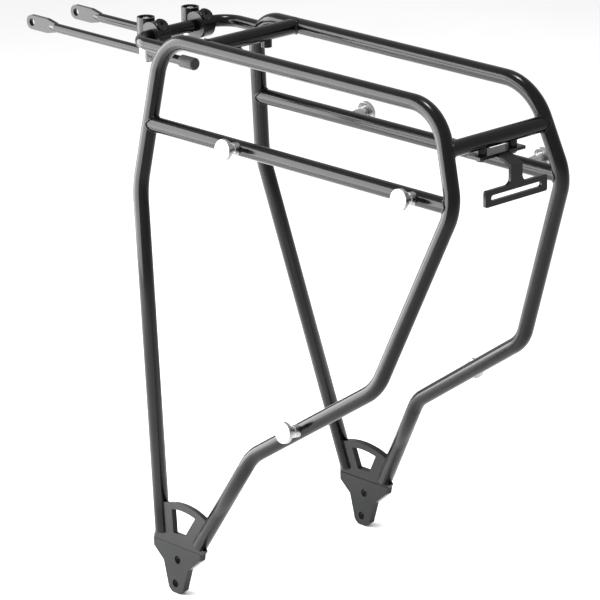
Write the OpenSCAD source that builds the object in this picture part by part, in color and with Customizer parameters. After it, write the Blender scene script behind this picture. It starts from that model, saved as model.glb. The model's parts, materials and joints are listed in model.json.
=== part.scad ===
// Bicycle rear rack: two bent side tubes joined by crossbars, with pannier rails,
// bolt-on feet, a front loop with two adjustable stays, and a lamp bracket.
// Origin: midway between the two lower foot holes. +X right, +Y forward, +Z up.

/* [Side tubes] */
// Outside diameter of the main tube
tube_d = 10; // [9.6:0.2:10.4]
// Wall thickness of every tube
wall = 1; // [0.8:0.1:1.5]
// Height of the deck tubes' centre line above the lower foot holes
deck_z = 338.6; // [334:1:342]
// Half the distance between the deck tubes' centre lines
deck_half = 39.5; // [39:0.5:42]
// Outward lean of each side, in degrees
lean = 7.913; // [7.5:0.1:8.3]

/* [Rails and crossbars] */
// Outside diameter of rails and crossbars, a hair under the side tube
cross_d = 9.9; // [9:0.1:9.9]
// Height of the pannier rails
rail_z = 283.7; // [282:0.5:286]
// Distance of the front crossbar ahead of the foot holes
front_bar_y = 14.7; // [13:0.5:17]
// Height of the rear crossbar
rear_bar_z = 315.2; // [314:0.5:317]

/* [Front loop and stays] */
// Outside diameter of the front loop
loop_d = 8; // [7.8:0.1:8.2]
// Height of the front loop
loop_z = 331.5; // [331:0.5:332.5]
// Distance of the loop's cross part ahead of the foot holes
loop_y = 82.3; // [80:0.5:85]
// Distance of each stay from the middle
stay_x = 19; // [18:0.5:20]
// Stay rod diameter
stay_d = 6; // [5.8:0.1:6.2]
// Distance of the stay's forward tip ahead of the foot holes
stay_tip_y = 208.3; // [195:1:212]
// Diameter of the bolt holes in the feet and stays
bolt_hole_d = 5.2; // [5:0.1:5.4]

/* [Pannier studs] */
// Diameter of a stud's head
stud_head_d = 13.4; // [12:0.2:14]
// Distance from the tube's centre to the face of the head
stud_reach = 16.2; // [15:0.2:18]

/* [Lamp bracket] */
// Width of the slotted plate
lamp_w = 53; // [50:1:56]
// Height of the slotted plate
lamp_h = 10.2; // [9.6:0.2:11]

/* [Hidden] */
$fn = 64;
tube_r = tube_d / 2;
cross_r = cross_d / 2;
loop_r = loop_d / 2;
stay_r = stay_d / 2;
hole_r = bolt_hole_d / 2;
black = "#202224";
silver = "#c4c6c8";
rubber_black = "#151515";

// Turns a height into a distance along the leaning side, measured from the deck tube.
function up(z) = (z - deck_z) / cos(lean);
// Half width of the rack at a height.
function half_at(z) = deck_half + (deck_z - z) * tan(lean);
function unit(v) = v / norm(v);
function turn(a, b, c) = let (u = unit(b - a), v = unit(c - b))
    atan2(u.x * v.y - u.y * v.x, u.x * v.x + u.y * v.y);

// Side tube corners as (forward, height), from the front foot over the deck to the rear foot.
front_knee = [62.2, 242.0];
front_top = [52.8, deck_z];
rear_top = [-187.4, deck_z];
rear_knee = [-206.4, 283.1];
rear_bend = [-159.3, 164.5];
rear_low = [-59.6, 98.3];
front_end = [14.3, 30.2];
rear_end = [-20.1, 30.2];
side_corners = [
    for (p = [front_end, front_knee, front_top, rear_top, rear_knee, rear_bend, rear_low, rear_end]) [p.x, up(p.y)]
];
side_radii = [0, 60, 25, 30, 30, 30, 30, 0];

// Straights of the side tube by their first corner, and two of its corners.
front_leg = 0;
upper_leg = 1;
deck = 2;
tail = 3;
low_run = 5;
rear_leg = 6;
top_corner = 2;
knee_corner = 4;

// Sleeve over each change from straight to arc.
sleeve_gap = 0.3;
sleeve_half = 0.6;
sleeve_proud = 0.03;

// The front loop, seen from above.
loop_start_y = 47;
loop_half = 40;
loop_corners = [[-loop_half, loop_start_y], [-loop_half, loop_y], [loop_half, loop_y],
    [loop_half, loop_start_y]];
loop_radii = [0, 15, 15, 0];

// The rear crossbar sits on the line between the rear top and rear knee corners.
rear_bar_y = rear_top.x + (rear_knee.x - rear_top.x) * (deck_z - rear_bar_z) / (deck_z - rear_knee.y);

// Foot plate.
foot_thick = 4;
lug_thick = 5;
crease_z = 26;
crease_x = half_at(crease_z);
upper_hole = [-2.5, 16.7];
fan_centre = [-3, 0];
fan_r = 53.3;
window_r = 48.9;

// Clamp, eye bolt and stay.
clearance = 0.05;
clamp_w = 10;
band_r = 8.7;
barrel_y = loop_y + 9.7;
barrel_r = 5.75;
barrel_low_z = loop_z - 6.5;
barrel_top_z = loop_z + 9.8;
recess_r = 4.8;
recess_deep = 6.2;
shank_r = 2.5;
nut_af = 8;
nut_h = 3.6;
boss_r = 4.3;
boss_reach = 9.8;
boss_tilt = 35;
screw_r = 2;
eye_r = 4.6;
eye_gap = 0.1;
eye_h = 12.8;
stay_z = barrel_low_z - eye_gap - eye_h / 2;
cap_y = [45.8, 58.8];
cap_r = 4;
flat_from_y = 180;
flat_h = 9.4;
flat_t = 3;
stay_hole_y = 203;

// Threaded bosses and the lamp bracket.
boss_x = 13;
thread_r = 2.1;
sheet = 2;
front_boss_low = deck_z - cross_r - 4;
rear_boss_low = rear_bar_z - cross_r - 3.1;
strip_w = 11;
strip_half = 19.5;
lamp_y = -211.2;
lamp_low = 280.3;
neck_half = 5;
slot_half = 21.6;
slot_r = 1.7;
fillet = 4;

// Puts a drawing made in (forward, up the slope) onto the left side's leaning plane.
// A positive height then points inwards.
module on_left_side() {
    translate([-deck_half, 0, deck_z]) rotate([0, lean, 0]) rotate([90, 0, 90]) children();
}

module mirrored(right) {
    if (right) mirror([1, 0, 0]) children();
    else children();
}

module profile(r, hollow) {
    difference() {
        circle(r);
        if (hollow) circle(r - wall);
    }
}

function trim_at(corners, radii, i) = i == 0 || i == len(corners) - 1 ? 0
    : radii[i] * tan(abs(turn(corners[i - 1], corners[i], corners[i + 1])) / 2);

// The straight length after corner i, made longer or shorter by "extra" at both ends.
module straight(corners, radii, i, r, hollow, extra) {
    dir = unit(corners[i + 1] - corners[i]);
    first = trim_at(corners, radii, i) - extra;
    last = norm(corners[i + 1] - corners[i]) - trim_at(corners, radii, i + 1) + extra;
    translate(corners[i] + dir * first) rotate([0, 90, atan2(dir.y, dir.x)])
        linear_extrude(last - first) profile(r, hollow);
}

// The arc round corner i.
module arc(corners, radii, i, r, hollow) {
    dir = unit(corners[i] - corners[i - 1]);
    bend = turn(corners[i - 1], corners[i], corners[i + 1]);
    side = sign(bend);
    centre = corners[i] - dir * trim_at(corners, radii, i) + side * radii[i] * [-dir.y, dir.x];
    first = atan2(dir.y, dir.x) - side * 90;
    translate(centre) rotate([0, 0, bend > 0 ? first : first + bend])
        rotate_extrude(angle = abs(bend)) translate([radii[i], 0]) profile(r, hollow);
}

// A tube bent in one plane. A hair-thin sleeve bridges each change from straight to arc.
module bent_tube(corners, radii, r) {
    last = len(corners) - 1;
    for (i = [0:last - 1]) {
        dir = unit(corners[i + 1] - corners[i]);
        straight(corners, radii, i, r, true, -sleeve_gap);
        at = concat(i > 0 ? [trim_at(corners, radii, i)] : [],
            i < last - 1 ? [norm(corners[i + 1] - corners[i]) - trim_at(corners, radii, i + 1)] : []);
        for (d = at) translate(corners[i] + dir * (d - sleeve_half)) rotate([0, 90, atan2(dir.y, dir.x)])
            linear_extrude(2 * sleeve_half) difference() {
                circle(r + sleeve_proud);
                circle(r - wall - sleeve_proud);
            }
    }
    for (i = [1:last - 1]) arc(corners, radii, i, r, true);
}

module side_tube(right) {
    color(black) mirrored(right) on_left_side() bent_tube(side_corners, side_radii, tube_r);
}

// The solid form of one straight of the left side tube, for coping what meets it.
module side_cutter(i, extra = 6) {
    on_left_side() straight(side_corners, side_radii, i, tube_r, false, extra);
}

// A pannier rail, coped to the front leg and to the bend at the rear knee.
module pannier_rail(right) {
    front_y = 57.5;
    rear_y = -204.8;
    color(black) mirrored(right) difference() {
        on_left_side() translate([rear_y, up(rail_z), 0]) rotate([0, 90, 0])
            linear_extrude(front_y - rear_y) profile(cross_r, true);
        side_cutter(upper_leg);
        on_left_side() arc(side_corners, side_radii, knee_corner, tube_r, false);
    }
}

// A crossbar, coped to one straight of both side tubes.
module crossbar(y, z, met) {
    half = half_at(z);
    color(black) difference() {
        translate([-half, y, z]) rotate([0, 90, 0]) linear_extrude(2 * half) profile(cross_r, true);
        side_cutter(met);
        mirror([1, 0, 0]) side_cutter(met);
    }
}

// The front loop, coped to the side tubes' upper front bends.
module front_loop() {
    color(black) difference() {
        translate([0, 0, loop_z]) bent_tube(loop_corners, loop_radii, loop_r);
        for (right = [false, true]) mirrored(right) on_left_side()
            arc(side_corners, side_radii, top_corner, tube_r, false);
    }
}

// The fan between the legs, drawn in (forward, up the slope).
module fan_outline() {
    difference() {
        intersection() {
            polygon([
                [20.2, up(crease_z - 1)], [20.2, up(29.6)], [14.3, up(31)], [26, up(80)], [-50, up(80)],
                [-20.1, up(32)], [-26, up(28.4)], [-24.2, up(crease_z - 1)]
            ]);
            translate([fan_centre.x, up(fan_centre.y)]) circle(fan_r);
        }
        intersection() {
            polygon([[2.7, up(33.2)], [7.8, up(55)], [-20.4, up(55)], [-7.8, up(33.2)]]);
            translate([fan_centre.x, up(fan_centre.y)]) circle(window_r);
        }
    }
}

// The drop-out lug below the crease, drawn in (forward, up).
module lug_outline() {
    polygon([
        [20, crease_z], [19.7, 20.8], [10.7, 13.2], [6.3, -3.8], [3, -6.4], [-3.6, -6.4], [-6.9, -3.6],
        [-11.6, 11.4], [-23.2, 21.2], [-24, crease_z]
    ]);
}

module foot(right) {
    color(black) mirrored(right) {
        difference() {
            on_left_side() translate([0, 0, -foot_thick / 2]) linear_extrude(foot_thick) fan_outline();
            side_cutter(front_leg, 0);
            side_cutter(rear_leg, 0);
            translate([-crease_x - 20, -40, crease_z - 20]) cube([40, 80, 20]);
        }
        difference() {
            translate([-crease_x - lug_thick / 2, 0, 0]) rotate([90, 0, 90]) linear_extrude(lug_thick)
                lug_outline();
            for (p = [[0, 0], upper_hole])
                translate([-crease_x - lug_thick, p.x, p.y]) rotate([0, 90, 0])
                    cylinder(h = 2 * lug_thick, r = hole_r);
        }
    }
}

// One turned stud standing outwards from a tube.
module stud() {
    head_h = 3.2;
    neck_r = 4;
    groove_r = 3.4;
    chamfer = 0.5;
    rotate([180, 0, 0]) rotate_extrude() polygon([
        [0, cross_r - 1.5], [neck_r, cross_r - 1.5], [neck_r, 8], [groove_r, 8.6], [groove_r, 10.4], [neck_r, 11],
        [neck_r, stud_reach - head_h], [stud_head_d / 2 - chamfer, stud_reach - head_h],
        [stud_head_d / 2, stud_reach - head_h + chamfer], [stud_head_d / 2, stud_reach - chamfer],
        [stud_head_d / 2 - chamfer, stud_reach], [0, stud_reach]
    ]);
}

module pannier_studs(right) {
    places = [[-25.3, rail_z], [-176.4, rail_z], [-99.6, 124.9]];
    color(silver) mirrored(right) difference() {
        on_left_side() for (p = places) translate([p.x, up(p.y), 0]) stud();
        on_left_side() translate([-200, up(rail_z), 0]) rotate([0, 90, 0]) cylinder(h = 220, r = cross_r);
        side_cutter(low_run);
    }
}

// A pair of threaded bosses under a crossbar, down to the height "low".
module bosses(y, z, low) {
    boss_round = 3.5;
    color(black) difference() {
        for (side = [-1, 1]) translate([side * boss_x, y, low]) difference() {
            cylinder(h = z - low - 1, r = boss_round);
            translate([0, 0, -1]) cylinder(h = z - low + 1, r = thread_r);
        }
        translate([-20, y, z]) rotate([0, 90, 0]) cylinder(h = 40, r = cross_r);
    }
}

// Bent sheet: a strip under the bosses, a sloping neck, and a slotted plate.
module lamp_bracket() {
    top = rear_boss_low;
    neck_top = top - 5.6;
    plate_top = lamp_low + lamp_h;
    front_y = rear_bar_y + strip_w / 2;
    rear_y = rear_bar_y - strip_w / 2;
    color(black) {
        difference() {
            translate([-strip_half, rear_y, top - sheet]) cube([2 * strip_half, strip_w, sheet]);
            for (side = [-1, 1]) translate([side * boss_x, rear_bar_y, top - 2 * sheet])
                cylinder(h = 3 * sheet, r = thread_r + 0.4);
        }
        translate([-neck_half, 0, 0]) rotate([90, 0, 90]) linear_extrude(2 * neck_half) polygon([
            [rear_y, top], [lamp_y - sheet / 2, neck_top + 0.6], [lamp_y - sheet / 2, plate_top],
            [lamp_y + sheet / 2, plate_top], [lamp_y + sheet / 2, neck_top - 0.6], [rear_y, top - sheet]
        ]);
        translate([0, lamp_y + sheet / 2, 0]) rotate([90, 0, 0]) linear_extrude(sheet)
            lamp_plate_outline(plate_top);
    }
}

// The slotted plate with a fillet on each side of the neck, drawn in (right, up).
module lamp_plate_outline(plate_top) {
    corner = 1.4;
    half = lamp_w / 2;
    slot_z = lamp_low + lamp_h / 2;
    difference() {
        union() {
            translate([-half + corner, lamp_low]) square([lamp_w - 2 * corner, lamp_h]);
            translate([-half, lamp_low + corner]) square([lamp_w, lamp_h - 2 * corner]);
            for (x = [-1, 1], z = [lamp_low + corner, plate_top - corner])
                translate([x * (half - corner), z]) circle(corner);
        }
        translate([-slot_half + slot_r, slot_z - slot_r]) square([2 * (slot_half - slot_r), 2 * slot_r]);
        for (x = [-1, 1]) translate([x * (slot_half - slot_r), slot_z]) circle(slot_r);
    }
    for (side = [-1, 1]) difference() {
        translate([side > 0 ? neck_half : -neck_half - fillet, plate_top]) square(fillet);
        translate([side * (neck_half + fillet), plate_top + fillet]) circle(fillet);
    }
}

// Button-head bolts that hold the bracket to the rear bosses.
module lamp_bolts() {
    head_r = 3.9;
    head_h = 2.2;
    socket_r = 1.6;
    under = rear_boss_low - sheet;
    color(black) for (side = [-1, 1]) translate([side * boss_x, rear_bar_y, under]) difference() {
        rotate_extrude() polygon([
            [0, 4.6], [thread_r, 4.6], [thread_r, 0], [head_r, 0], [head_r, -0.6], [head_r - 1.2, -head_h],
            [0, -head_h]
        ]);
        translate([0, 0, -head_h - 1]) cylinder(h = 2.2, r = socket_r, $fn = 6);
    }
}

// Points from the loop's axis up and back, along the set screw.
module along_set_screw() {
    translate([-stay_x, loop_y, loop_z]) rotate([boss_tilt, 0, 0]) children();
}

// Band round the loop with a barrel for the eye bolt and a boss for the set screw.
module clamp(right) {
    color(black) mirrored(right) difference() {
        union() {
            translate([-stay_x - clamp_w / 2, loop_y, loop_z]) rotate([0, 90, 0])
                cylinder(h = clamp_w, r = band_r);
            translate([-stay_x, barrel_y, barrel_low_z]) cylinder(h = barrel_top_z - barrel_low_z, r = barrel_r);
            along_set_screw() cylinder(h = boss_reach, r = boss_r);
        }
        translate([-stay_x - clamp_w, loop_y, loop_z]) rotate([0, 90, 0])
            cylinder(h = 2 * clamp_w, r = loop_r + clearance);
        translate([-stay_x, barrel_y, barrel_low_z - 1]) cylinder(h = 30, r = shank_r + clearance);
        translate([-stay_x, barrel_y, barrel_top_z - recess_deep]) cylinder(h = 10, r = recess_r);
        along_set_screw() cylinder(h = 20, r = screw_r);
        translate([-stay_x, barrel_y, barrel_low_z - 10]) cylinder(h = 10, r = eye_r + 4 * eye_gap);
    }
}

module set_screw(right) {
    tip = loop_r + 0.4;
    color(silver) mirrored(right) along_set_screw() difference() {
        translate([0, 0, tip]) cylinder(h = boss_reach - tip - 0.5, r = screw_r);
        translate([0, 0, boss_reach - 2.5]) cylinder(h = 4, r = 1.1, $fn = 6);
    }
}

// Cross-drilled head under the clamp, with a shank up through the barrel.
module eye_bolt(right) {
    shank_top = barrel_top_z - 0.6;
    chamfer = 0.6;
    color(silver) mirrored(right) translate([-stay_x, barrel_y, 0]) difference() {
        rotate_extrude() polygon([
            [0, stay_z - eye_h / 2], [eye_r - chamfer, stay_z - eye_h / 2], [eye_r, stay_z - eye_h / 2 + chamfer],
            [eye_r, stay_z + eye_h / 2], [shank_r, stay_z + eye_h / 2], [shank_r, shank_top - chamfer],
            [shank_r - chamfer, shank_top], [0, shank_top]
        ]);
        translate([0, 10, stay_z]) rotate([90, 0, 0]) cylinder(h = 20, r = stay_r + clearance);
    }
}

module eye_nut(right) {
    color(silver) mirrored(right)
        translate([-stay_x, barrel_y, barrel_top_z - recess_deep + eye_gap]) difference() {
            cylinder(h = nut_h, d = nut_af / cos(30), $fn = 6);
            translate([0, 0, -1]) cylinder(h = nut_h + 2, r = shank_r);
        }
}

// Round rod with a flattened, drilled forward end.
module stay(right) {
    flat_r = flat_h / 2;
    tip_y = stay_tip_y - flat_r;
    socket_y = cap_y[0] + 2;
    color(black) mirrored(right) translate([-stay_x, 0, stay_z]) difference() {
        union() {
            translate([0, flat_from_y, 0]) rotate([90, 0, 0]) cylinder(h = flat_from_y - socket_y, r = stay_r);
            translate([0, flat_from_y, 0]) rotate([-90, 0, 0]) cylinder(h = 6, r1 = stay_r, r2 = flat_t / 2);
            translate([-flat_t / 2, 0, 0]) rotate([90, 0, 90]) linear_extrude(flat_t) {
                polygon([[flat_from_y - 4, 0], [flat_from_y, -stay_r], [flat_from_y + 8, -flat_r], [tip_y, -flat_r],
                    [tip_y, flat_r], [flat_from_y + 8, flat_r], [flat_from_y, stay_r]]);
                translate([tip_y, 0]) circle(flat_r);
            }
        }
        translate([-10, stay_hole_y, 0]) rotate([0, 90, 0]) cylinder(h = 20, r = hole_r);
    }
}

// Rubber cap over the stay's rear end.
module stay_cap(right) {
    length = cap_y[1] - cap_y[0];
    color(rubber_black) mirrored(right) translate([-stay_x, cap_y[0], stay_z]) rotate([-90, 0, 0])
        rotate_extrude() polygon([[0, 0], [cap_r - 1, 0], [cap_r - 0.3, 0.3], [cap_r, 1], [cap_r, length - 0.6],
            [cap_r - 0.6, length], [stay_r, length], [stay_r, 2], [0, 2]]);
}

side_tube(false);  // side_tube_left
side_tube(true);  // side_tube_right
pannier_rail(false);  // pannier_rail_left
pannier_rail(true);  // pannier_rail_right
crossbar(front_bar_y, deck_z, deck);  // front_crossbar
crossbar(rear_bar_y, rear_bar_z, tail);  // rear_crossbar
front_loop();
foot(false);  // foot_left
foot(true);  // foot_right
pannier_studs(false);  // pannier_studs_left
pannier_studs(true);  // pannier_studs_right
bosses(front_bar_y, deck_z, front_boss_low);  // front_bosses
bosses(rear_bar_y, rear_bar_z, rear_boss_low);  // rear_bosses
lamp_bracket();
lamp_bolts();
clamp(false);  // clamp_left
clamp(true);  // clamp_right
set_screw(false);  // set_screw_left
set_screw(true);  // set_screw_right
eye_bolt(false);  // eye_bolt_left
eye_bolt(true);  // eye_bolt_right
eye_nut(false);  // eye_nut_left
eye_nut(true);  // eye_nut_right
stay(false);  // stay_left
stay(true);  // stay_right
stay_cap(false);  // stay_cap_left
stay_cap(true);  // stay_cap_right
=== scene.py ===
"""Bicycle rear rack: smooth coated tubes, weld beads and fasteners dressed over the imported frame."""

import json
import math

import bmesh
import bpy
from mathutils import Matrix, Vector


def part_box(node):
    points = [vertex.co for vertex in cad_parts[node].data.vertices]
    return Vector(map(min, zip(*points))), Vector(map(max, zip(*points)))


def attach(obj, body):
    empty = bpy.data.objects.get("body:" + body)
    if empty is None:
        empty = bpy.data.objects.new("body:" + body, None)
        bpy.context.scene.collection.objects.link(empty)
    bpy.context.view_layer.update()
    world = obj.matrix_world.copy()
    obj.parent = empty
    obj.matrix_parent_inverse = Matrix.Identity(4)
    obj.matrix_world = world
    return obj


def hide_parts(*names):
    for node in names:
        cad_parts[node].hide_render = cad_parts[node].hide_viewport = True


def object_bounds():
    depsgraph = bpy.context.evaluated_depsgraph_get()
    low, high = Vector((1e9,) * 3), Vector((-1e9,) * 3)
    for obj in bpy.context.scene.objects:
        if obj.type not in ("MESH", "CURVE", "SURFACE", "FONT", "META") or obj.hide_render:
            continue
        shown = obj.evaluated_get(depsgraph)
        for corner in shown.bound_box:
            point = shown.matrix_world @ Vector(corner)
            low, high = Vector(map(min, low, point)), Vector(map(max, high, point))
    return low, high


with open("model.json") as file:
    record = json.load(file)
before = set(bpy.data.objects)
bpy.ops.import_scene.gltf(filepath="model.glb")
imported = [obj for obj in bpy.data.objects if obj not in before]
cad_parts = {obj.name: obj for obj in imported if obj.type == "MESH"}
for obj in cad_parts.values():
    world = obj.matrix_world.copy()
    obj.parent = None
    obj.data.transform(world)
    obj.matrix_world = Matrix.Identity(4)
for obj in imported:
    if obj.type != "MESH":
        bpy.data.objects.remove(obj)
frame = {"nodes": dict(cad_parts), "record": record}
cad_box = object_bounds()
nodes = frame["nodes"]
SIDES = {"left": -1, "right": 1}

# Places and sizes in metres, in the row frame, the same as the CAD's.
DECK_Z = 0.3386
DECK_HALF = 0.0395
LEAN = math.radians(7.913)
TUBE_R = 0.005
TUBE_WALL = 0.001
CROSS_R = 0.00495
SIDE_CORNERS = [
    (0.0143, 0.0302), (0.0622, 0.2420), (0.0528, DECK_Z), (-0.1874, DECK_Z),
    (-0.2064, 0.2831), (-0.1593, 0.1645), (-0.0596, 0.0983), (-0.0201, 0.0302),
]
SIDE_RADII = [0, 0.060, 0.025, 0.030, 0.030, 0.030, 0.030, 0]
RAIL_Z = 0.2837
RAIL_MIDDLE_Y = -0.08
REAR_LIMIT_Y = -0.1
TUBE_SIDES = 48
BEND_STEPS = 20
BEAD_SIDES = 10
BEAD_LIFT = 0.0001
RIPPLE_DEPTH = 0.10
FLOOR_HALF = 6
FLOOR_GAP = 0.0005
LIGHT_AIM = Vector((0, -0.02, 0.18))


# ---------------------------------------------------------------- materials

def new_material(name):
    material = bpy.data.materials.new(name)
    material.use_nodes = True
    tree = material.node_tree
    return material, tree, tree.nodes["Principled BSDF"]


def add_noise(tree, scale, detail, roughness=0.5, stretch=(1, 1, 1)):
    place = tree.nodes.new("ShaderNodeTexCoord")
    mapping = tree.nodes.new("ShaderNodeMapping")
    mapping.inputs["Scale"].default_value = stretch
    noise = tree.nodes.new("ShaderNodeTexNoise")
    noise.inputs["Scale"].default_value = scale
    noise.inputs["Detail"].default_value = detail
    noise.inputs["Roughness"].default_value = roughness
    tree.links.new(place.outputs["Object"], mapping.inputs["Vector"])
    tree.links.new(mapping.outputs["Vector"], noise.inputs["Vector"])
    return noise.outputs["Fac"]


def add_ramp(tree, factor, low, high, ends=(0.3, 0.7)):
    ramp = tree.nodes.new("ShaderNodeValToRGB")
    ramp.color_ramp.elements[0].position = ends[0]
    ramp.color_ramp.elements[1].position = ends[1]
    ramp.color_ramp.elements[0].color = (*low, 1)
    ramp.color_ramp.elements[1].color = (*high, 1)
    tree.links.new(factor, ramp.inputs["Fac"])
    return ramp.outputs["Color"]


def add_range(tree, factor, low, high):
    spread = tree.nodes.new("ShaderNodeMapRange")
    spread.inputs["To Min"].default_value = low
    spread.inputs["To Max"].default_value = high
    tree.links.new(factor, spread.inputs["Value"])
    return spread.outputs["Result"]


def add_bump(tree, shader, factor, strength, distance):
    bump = tree.nodes.new("ShaderNodeBump")
    bump.inputs["Strength"].default_value = strength
    bump.inputs["Distance"].default_value = distance
    tree.links.new(factor, bump.inputs["Height"])
    tree.links.new(bump.outputs["Normal"], shader.inputs["Normal"])


def powder_coat(name, dark, light, rough, peel):
    """Black powder coat: faint clouding, uneven gloss and a fine orange peel."""
    material, tree, shader = new_material(name)
    clouds = add_noise(tree, 55, 4)
    tree.links.new(add_ramp(tree, clouds, dark, light), shader.inputs["Base Color"])
    gloss = add_noise(tree, 260, 3)
    tree.links.new(add_range(tree, gloss, rough - 0.04, rough + 0.07), shader.inputs["Roughness"])
    add_bump(tree, shader, add_noise(tree, 1400, 2), peel, 0.00006)
    shader.inputs["Specular IOR Level"].default_value = 0.22
    return material


def turned_steel(name, dark, light, rough):
    """Bright steel with fine tool marks and slightly uneven gloss."""
    material, tree, shader = new_material(name)
    shader.inputs["Metallic"].default_value = 1.0
    marks = add_noise(tree, 900, 5, 0.65, (1, 6, 1))
    tree.links.new(add_ramp(tree, marks, dark, light), shader.inputs["Base Color"])
    gloss = add_noise(tree, 400, 3)
    tree.links.new(add_range(tree, gloss, rough - 0.06, rough + 0.08), shader.inputs["Roughness"])
    add_bump(tree, shader, marks, 0.15, 0.00003)
    return material


def moulded_rubber(name):
    """Matt rubber with a fine grain, paler and rougher where it stands up."""
    material, tree, shader = new_material(name)
    grain = add_noise(tree, 1800, 4, 0.6)
    colour = add_ramp(tree, grain, (0.010, 0.010, 0.011), (0.024, 0.024, 0.025))
    tree.links.new(colour, shader.inputs["Base Color"])
    tree.links.new(add_range(tree, grain, 0.55, 0.78), shader.inputs["Roughness"])
    add_bump(tree, shader, grain, 0.4, 0.00006)
    return material


def pale_floor(name):
    material, tree, shader = new_material(name)
    mottling = add_noise(tree, 3, 3)
    colour = add_ramp(tree, mottling, (0.86, 0.86, 0.86), (0.90, 0.90, 0.90))
    tree.links.new(colour, shader.inputs["Base Color"])
    shader.inputs["Roughness"].default_value = 0.85
    return material


FINISH = {
    "black_tube": powder_coat("coat_tube", (0.0016, 0.0017, 0.0020), (0.0034, 0.0036, 0.0041), 0.17, 0.05),
    "black_plate": powder_coat("coat_plate", (0.0035, 0.0037, 0.0041), (0.0070, 0.0073, 0.0080), 0.24, 0.20),
    "black_cast": powder_coat("coat_cast", (0.0030, 0.0032, 0.0036), (0.0065, 0.0068, 0.0075), 0.24, 0.30),
    "black_bolt": turned_steel("black_oxide", (0.030, 0.030, 0.032), (0.070, 0.070, 0.072), 0.38),
    "stud_steel": turned_steel("bright_steel", (0.34, 0.34, 0.34), (0.44, 0.44, 0.435), 0.30),
    "eye_steel": turned_steel("zinc_steel", (0.30, 0.30, 0.31), (0.46, 0.46, 0.47), 0.36),
    "rubber": moulded_rubber("cap_rubber"),
}


def paint_cad_nodes():
    for part in frame["record"]["subparts"]:
        mesh = nodes[part["node"]].data
        finish = FINISH[part["material_slot"]]
        for index in range(max(1, len(mesh.materials))):
            if index < len(mesh.materials):
                nodes[part["node"]].material_slots[index].material = finish
            else:
                mesh.materials.append(finish)


# ---------------------------------------------------------------- mesh helpers

def to_object(name, bm, slot, body):
    mesh = bpy.data.meshes.new(name)
    bmesh.ops.recalc_face_normals(bm, faces=bm.faces)
    bm.to_mesh(mesh)
    bm.free()
    for face in mesh.polygons:
        face.use_smooth = True
    piece = bpy.data.objects.new(name, mesh)
    bpy.context.scene.collection.objects.link(piece)
    mesh.materials.append(FINISH[slot])
    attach(piece, body)
    return piece


def on_side(sign, forward, height, inward=0.0):
    """A point on a side's leaning plane, from its distance forward and its height at the plane."""
    drop = DECK_Z - height
    outward = DECK_HALF + drop * math.tan(LEAN) - inward * math.cos(LEAN)
    return Vector((sign * outward, forward, height - inward * math.sin(LEAN)))


def rounded_path(corners, radii):
    """Points along straights and arcs, from corner points and a radius at each."""
    path = [corners[0]]
    for before, corner, after, radius in zip(corners, corners[1:], corners[2:], radii[1:]):
        into = (corner - before).normalized()
        out = (after - corner).normalized()
        bend = into.angle(out)
        axis = into.cross(out).normalized()
        start = corner - into * radius * math.tan(bend / 2)
        centre = start + axis.cross(into) * radius
        for step in range(BEND_STEPS + 1):
            spin = Matrix.Rotation(bend * step / BEND_STEPS, 3, axis)
            path.append(centre + spin @ (start - centre))
    path.append(corners[-1])
    return path


def sweep(bm, path, radii, closed=False, sides=TUBE_SIDES):
    """A ring of vertices at each path point, carried along without twisting, and joined into a skin."""
    count = len(path)
    rings = []
    normal = None
    for i, point in enumerate(path):
        ahead = path[(i + 1) % count] if closed or i < count - 1 else point
        behind = path[i - 1] if closed or i > 0 else point
        along = (ahead - behind).normalized()
        if normal is None:
            normal = along.orthogonal()
        normal = (normal - along * normal.dot(along)).normalized()
        other = along.cross(normal)
        radius = radii[i]
        rings.append([
            bm.verts.new(point + radius * (math.cos(a) * normal + math.sin(a) * other))
            for a in (2 * math.pi * k / sides for k in range(sides))
        ])
    for i in range(count if closed else count - 1):
        ring, following = rings[i], rings[(i + 1) % count]
        for k in range(sides):
            m = (k + 1) % sides
            bm.faces.new((ring[k], ring[m], following[m], following[k]))


def hollow_tube(bm, path, radius, wall):
    """An outer and an inner skin joined at both ends."""
    sweep(bm, path, [radius] * len(path))
    outer = len(path) * TUBE_SIDES
    sweep(bm, path, [radius - wall] * len(path))
    bm.verts.ensure_lookup_table()
    verts = bm.verts
    last = (len(path) - 1) * TUBE_SIDES
    for first in (0, last):
        inner = outer + first
        for k in range(TUBE_SIDES):
            m = (k + 1) % TUBE_SIDES
            bm.faces.new([verts[first + k], verts[first + m], verts[inner + m], verts[inner + k]])


# ---------------------------------------------------------------- tubes

def side_tubes():
    """A smooth bent tube on each side, from the front foot over the deck to the rear foot."""
    for name, sign in SIDES.items():
        corners = [on_side(sign, forward, height) for forward, height in SIDE_CORNERS]
        bm = bmesh.new()
        hollow_tube(bm, rounded_path(corners, SIDE_RADII), TUBE_R, TUBE_WALL)
        piece = to_object(f"bent_side_tube_{name}", bm, "black_tube", "frame")
        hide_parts(f"side_tube_{name}")


# ---------------------------------------------------------------- weld beads

def cope_curve(centre, along, radius, axis_point, axis, axis_radius, steps=72):
    """Where a tube of "radius", running along "along" through "centre", meets another tube's skin."""
    first = along.orthogonal().normalized()
    second = along.cross(first)
    curve = []
    for step in range(steps):
        angle = 2 * math.pi * step / steps
        start = centre + radius * (math.cos(angle) * first + math.sin(angle) * second)
        offset = start - axis_point
        offset -= axis * offset.dot(axis)
        flat = along - axis * along.dot(axis)
        a = flat.dot(flat)
        b = 2 * offset.dot(flat)
        c = offset.dot(offset) - axis_radius ** 2
        root = math.sqrt(max(b * b - 4 * a * c, 0))
        curve.append(start + along * ((-b - root) / (2 * a)))
    return curve


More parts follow.
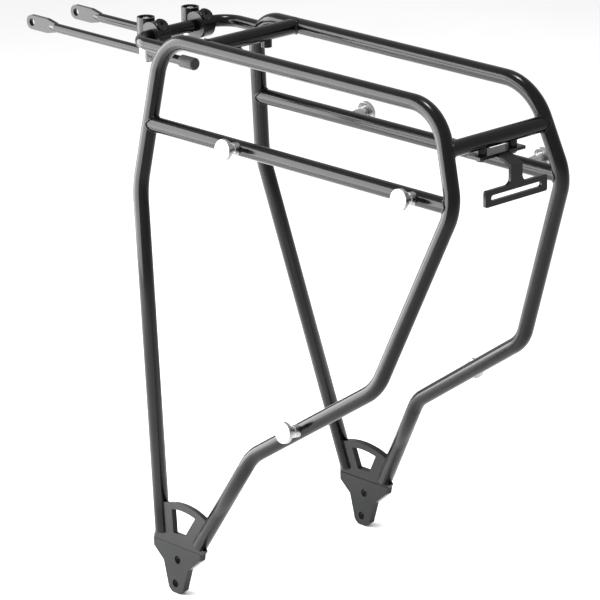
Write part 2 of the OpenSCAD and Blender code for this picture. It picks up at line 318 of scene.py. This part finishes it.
def weld(name, curve, bead=0.0008, ripples=46):
    """A rippled fillet bead along a closed curve."""
    turn = 2 * math.pi * ripples / len(curve)
    radii = [bead * (1 + RIPPLE_DEPTH * math.sin(turn * i)) for i in range(len(curve))]
    bm = bmesh.new()
    sweep(bm, curve, radii, closed=True, sides=BEAD_SIDES)
    return to_object(name, bm, "black_tube", "frame")


def middle(node):
    low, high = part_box(node)
    return (Vector(low) + Vector(high)) / 2


def crossbar_welds():
    """Beads where each crossbar meets the side tubes."""
    tail = [SIDE_CORNERS[3], SIDE_CORNERS[4]]
    deck = [SIDE_CORNERS[2], SIDE_CORNERS[3]]
    for node, stretch in (("front_crossbar", deck), ("rear_crossbar", tail)):
        centre = middle(node)
        for name, sign in SIDES.items():
            start, end = (on_side(sign, *corner) for corner in stretch)
            axis = (end - start).normalized()
            outward = Vector((sign, 0, 0))
            curve = cope_curve(centre, outward, CROSS_R, start, axis, TUBE_R + BEAD_LIFT)
            weld(f"weld_{node}_{name}", curve)


def rear_crossing(path):
    """The index of the point behind REAR_LIMIT_Y that is nearest to the rail's height."""
    behind = [i for i in range(1, len(path) - 1) if path[i].y < REAR_LIMIT_Y]
    return min(behind, key=lambda i: abs(path[i].z - RAIL_Z))


def rail_welds():
    """Beads where each pannier rail meets the front leg and the rear knee."""
    reach = TUBE_R + BEAD_LIFT
    for name, sign in SIDES.items():
        centre = on_side(sign, RAIL_MIDDLE_Y, RAIL_Z)
        knee, top = (on_side(sign, *SIDE_CORNERS[i]) for i in (1, 2))
        axis = (top - knee).normalized()
        curve = cope_curve(centre, Vector((0, 1, 0)), CROSS_R, knee, axis, reach)
        weld(f"weld_rail_front_{name}", curve)
        path = rounded_path([on_side(sign, *c) for c in SIDE_CORNERS], SIDE_RADII)
        near = rear_crossing(path)
        axis = (path[near + 1] - path[near - 1]).normalized()
        curve = cope_curve(centre, Vector((0, -1, 0)), CROSS_R, path[near], axis, reach)
        weld(f"weld_rail_rear_{name}", curve)


# ---------------------------------------------------------------- stage, camera and lights

AIM = Vector((-0.0246, -0.0529, 0.1870))
AZIMUTH = math.radians(-43.74)
ELEVATION = math.radians(18.18)
ROLL = math.radians(-0.51)
DISTANCE = 2.4031
FOCAL_PER_FRAME = 3878.8 / 600


def add_camera():
    back = Vector((
        math.sin(AZIMUTH) * math.cos(ELEVATION), -math.cos(AZIMUTH) * math.cos(ELEVATION), math.sin(ELEVATION)
    ))
    level = Vector((math.cos(AZIMUTH), math.sin(AZIMUTH), 0))
    rise = back.cross(level)
    right = math.cos(ROLL) * level + math.sin(ROLL) * rise
    up = math.cos(ROLL) * rise - math.sin(ROLL) * level
    data = bpy.data.cameras.new("camera")
    data.sensor_width = 36
    data.lens = data.sensor_width * FOCAL_PER_FRAME
    camera = bpy.data.objects.new("camera", data)
    bpy.context.scene.collection.objects.link(camera)
    turned = Matrix((right, up, back)).transposed().to_4x4()
    camera.matrix_world = Matrix.Translation(AIM + back * DISTANCE) @ turned
    bpy.context.scene.camera = camera


def add_area(name, place, size, power):
    data = bpy.data.lights.new(name, "AREA")
    data.shape = "RECTANGLE"
    data.size, data.size_y = size
    data.energy = power
    light = bpy.data.objects.new(name, data)
    bpy.context.scene.collection.objects.link(light)
    light.location = place
    light.rotation_euler = (LIGHT_AIM - Vector(place)).to_track_quat("-Z", "Y").to_euler()


def add_world(brightness):
    world = bpy.data.worlds.new("studio")
    world.use_nodes = True
    world.node_tree.nodes["Background"].inputs["Color"].default_value = (1, 1, 1, 1)
    world.node_tree.nodes["Background"].inputs["Strength"].default_value = brightness
    bpy.context.scene.world = world


def add_floor():
    bm = bmesh.new()
    bmesh.ops.create_grid(bm, x_segments=4, y_segments=4, size=FLOOR_HALF)
    mesh = bpy.data.meshes.new("floor")
    bm.to_mesh(mesh)
    bm.free()
    floor = bpy.data.objects.new("floor", mesh)
    mesh.materials.append(pale_floor("floor_paint"))
    bpy.context.scene.collection.objects.link(floor)
    floor.location.z = cad_box[0][2] - FLOOR_GAP


paint_cad_nodes()
side_tubes()
crossbar_welds()
rail_welds()
add_camera()
add_world(0.72)
add_area("side_panel", (-0.44, 0.35, 0.32), (1.1, 0.62), 23)
add_area("overhead", (-0.2, 0.2, 2.6), (0.5, 0.5), 34)
add_floor()
bpy.context.scene.view_settings.view_transform = "Standard"
